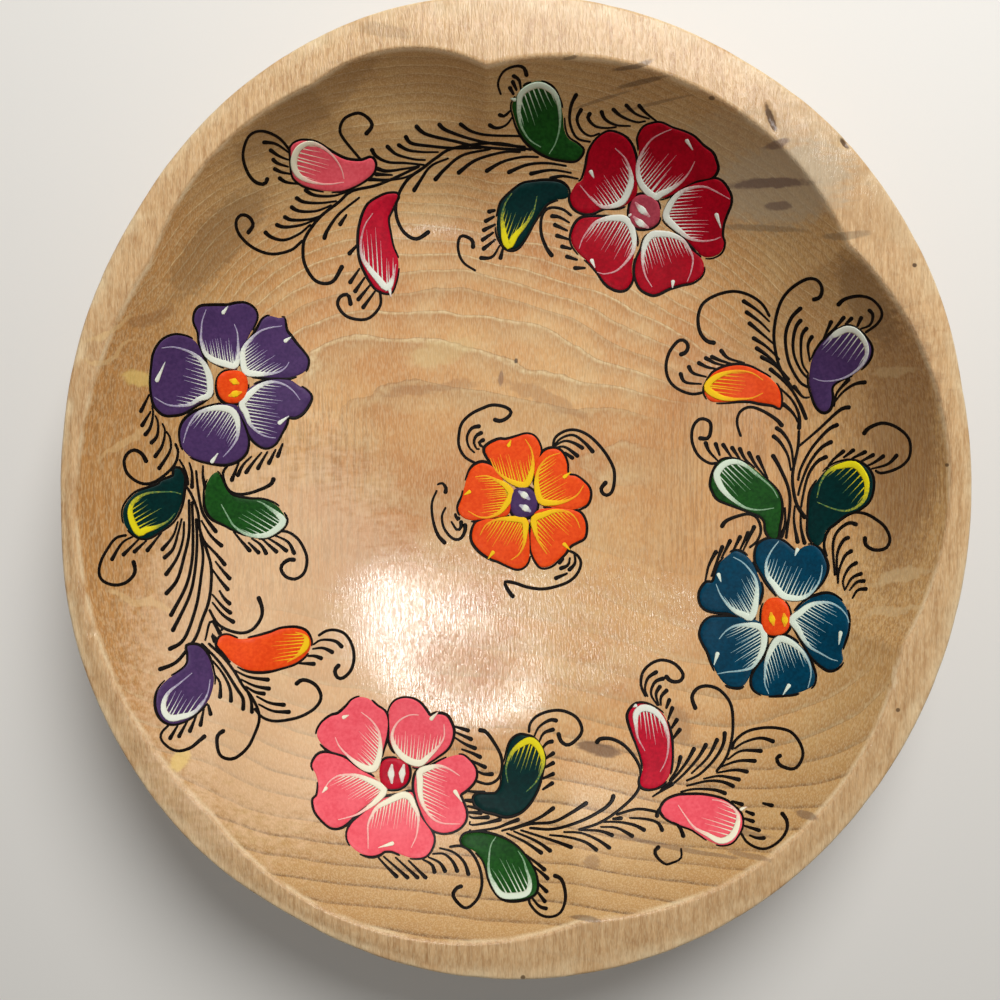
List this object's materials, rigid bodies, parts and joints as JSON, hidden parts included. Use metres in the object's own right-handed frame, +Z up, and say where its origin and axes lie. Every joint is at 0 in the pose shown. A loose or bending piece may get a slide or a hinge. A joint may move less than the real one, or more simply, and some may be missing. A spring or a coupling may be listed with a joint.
{
  "type": "painted wooden dish",
  "caption": "Shallow oval dish carved from one block of pale wood, with a scalloped hollow, a broad flat rim and painted flowers, leaves and buds inside.",
  "frame": {"origin": "middle of the flat underside of the foot", "axes": "+Z up out of the mouth, +Y along the grain and the long diameter, +X across the grain"},
  "size_m": [0.347, 0.375, 0.065],
  "materials": {
    "varnished_wood": "hand-rubbed clear varnish, satin to gloss",
    "crimson_enamel": "brushed gloss enamel",
    "rose_enamel": "brushed gloss enamel",
    "violet_enamel": "brushed gloss enamel",
    "orange_enamel": "brushed gloss enamel",
    "teal_enamel": "brushed gloss enamel",
    "coral_enamel": "brushed gloss enamel",
    "green_enamel": "brushed gloss enamel",
    "dark_green_enamel": "brushed gloss enamel"
  },
  "bodies": {
    "root": {"bowl": "varnished_wood", "red_flower_petal_1": "crimson_enamel", "red_flower_petal_2": "crimson_enamel", "red_flower_petal_3": "crimson_enamel", "red_flower_petal_4": "crimson_enamel", "red_flower_petal_5": "crimson_enamel", "red_flower_centre": "rose_enamel", "purple_flower_petal_1": "violet_enamel", "purple_flower_petal_2": "violet_enamel", "purple_flower_petal_3": "violet_enamel", "purple_flower_petal_4": "violet_enamel", "purple_flower_petal_5": "violet_enamel", "purple_flower_centre": "orange_enamel", "orange_flower_petal_1": "orange_enamel", "orange_flower_petal_2": "orange_enamel", "orange_flower_petal_3": "orange_enamel", "orange_flower_petal_4": "orange_enamel", "orange_flower_petal_5": "orange_enamel", "orange_flower_centre": "violet_enamel", "blue_flower_petal_1": "teal_enamel", "blue_flower_petal_2": "teal_enamel", "blue_flower_petal_3": "teal_enamel", "blue_flower_petal_4": "teal_enamel", "blue_flower_petal_5": "teal_enamel", "blue_flower_centre": "orange_enamel", "pink_flower_petal_1": "coral_enamel", "pink_flower_petal_2": "coral_enamel", "pink_flower_petal_3": "coral_enamel", "pink_flower_petal_4": "coral_enamel", "pink_flower_petal_5": "coral_enamel", "pink_flower_centre": "crimson_enamel", "top_green_leaf": "green_enamel", "top_dark_leaf": "dark_green_enamel", "top_pink_bud": "coral_enamel", "top_red_bud": "crimson_enamel", "left_dark_leaf": "dark_green_enamel", "left_green_leaf": "green_enamel", "left_orange_bud": "orange_enamel", "left_purple_bud": "violet_enamel", "right_green_leaf": "green_enamel", "right_dark_leaf": "dark_green_enamel", "right_orange_bud": "orange_enamel", "right_purple_bud": "violet_enamel", "bottom_dark_leaf": "dark_green_enamel", "bottom_green_leaf": "green_enamel", "bottom_red_bud": "crimson_enamel", "bottom_pink_bud": "coral_enamel"}
  },
  "joints": []
}
